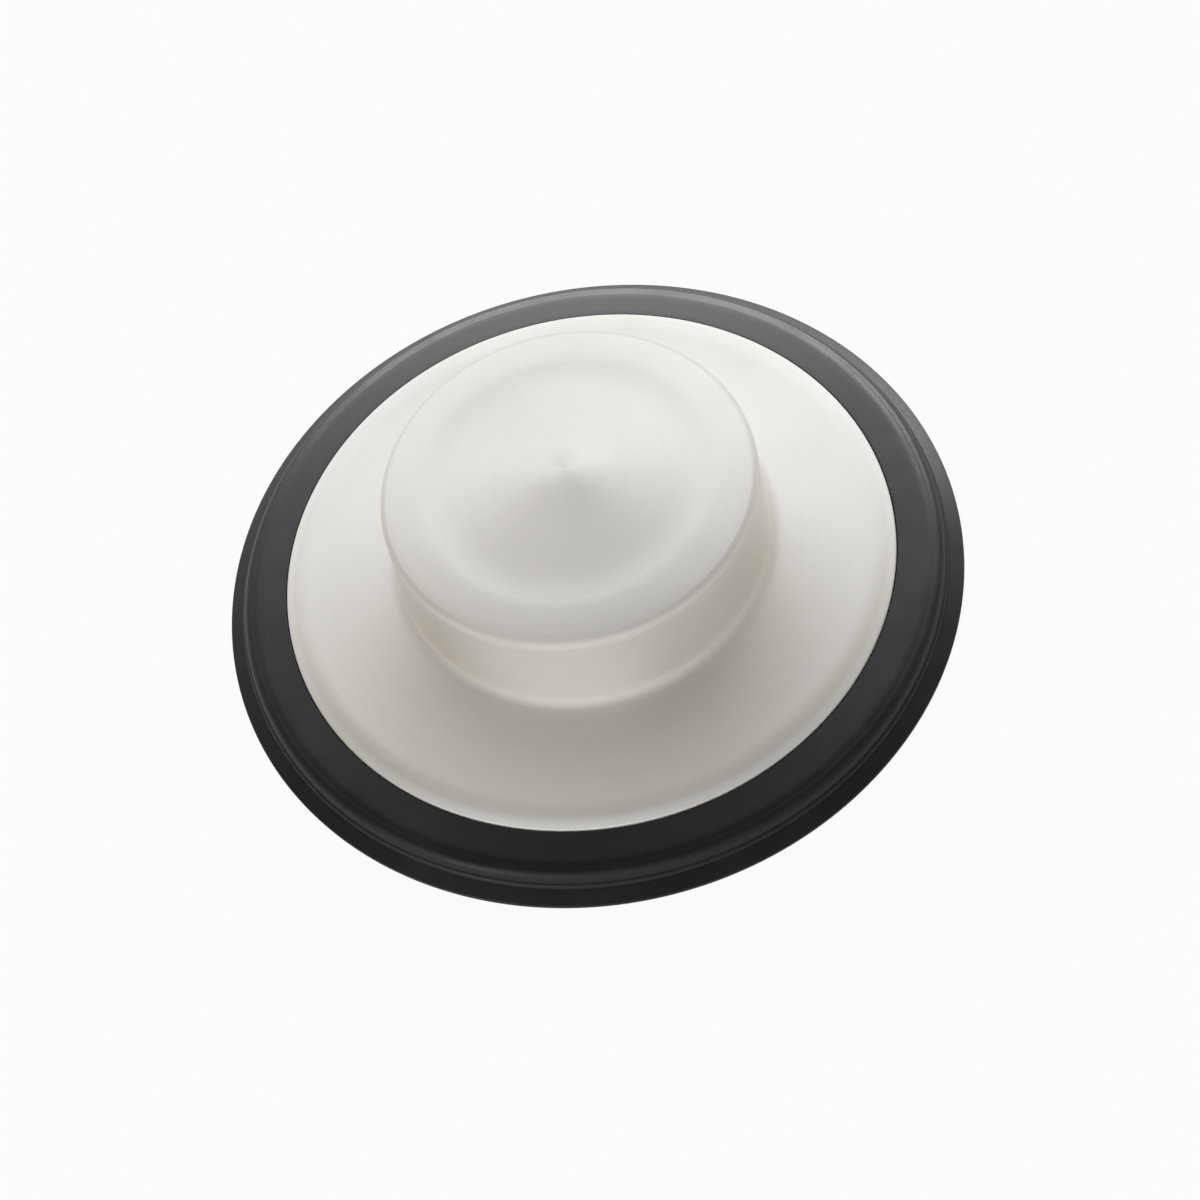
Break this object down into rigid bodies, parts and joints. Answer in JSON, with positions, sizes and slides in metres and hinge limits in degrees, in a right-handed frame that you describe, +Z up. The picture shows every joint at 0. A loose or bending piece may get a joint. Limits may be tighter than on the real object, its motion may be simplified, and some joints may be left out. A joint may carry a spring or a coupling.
{
  "type": "drain stopper",
  "caption": "Drop-in drain stopper: drawn metal cap with a round grip knob and sloping brim, on a rubber seal ring with a thin lip, clamped by a plate and screw from below.",
  "frame": {"origin": "centre of the seal skirt's bottom ring, on the plane that the stopper rests on", "axes": "+Z up through the middle of the knob; the part is round about Z, and a rib lies along +X"},
  "size_m": [0.086, 0.086, 0.0262],
  "materials": {
    "cap_metal": "satin nickel, brushed in circles",
    "seal_rubber": "black moulded rubber, semi-matt",
    "carrier_plastic": "natural moulded plastic",
    "plate_plastic": "black moulded plastic",
    "washer_rubber": "soft black rubber",
    "fastener_steel": "plain stainless steel"
  },
  "bodies": {
    "root": {"cap_shell": "cap_metal", "seal": "seal_rubber", "carrier": "carrier_plastic", "backing_plate": "plate_plastic", "sealing_washer": "washer_rubber", "flat_washer": "fastener_steel", "centre_screw": "fastener_steel", "hex_nut": "fastener_steel"}
  },
  "joints": []
}
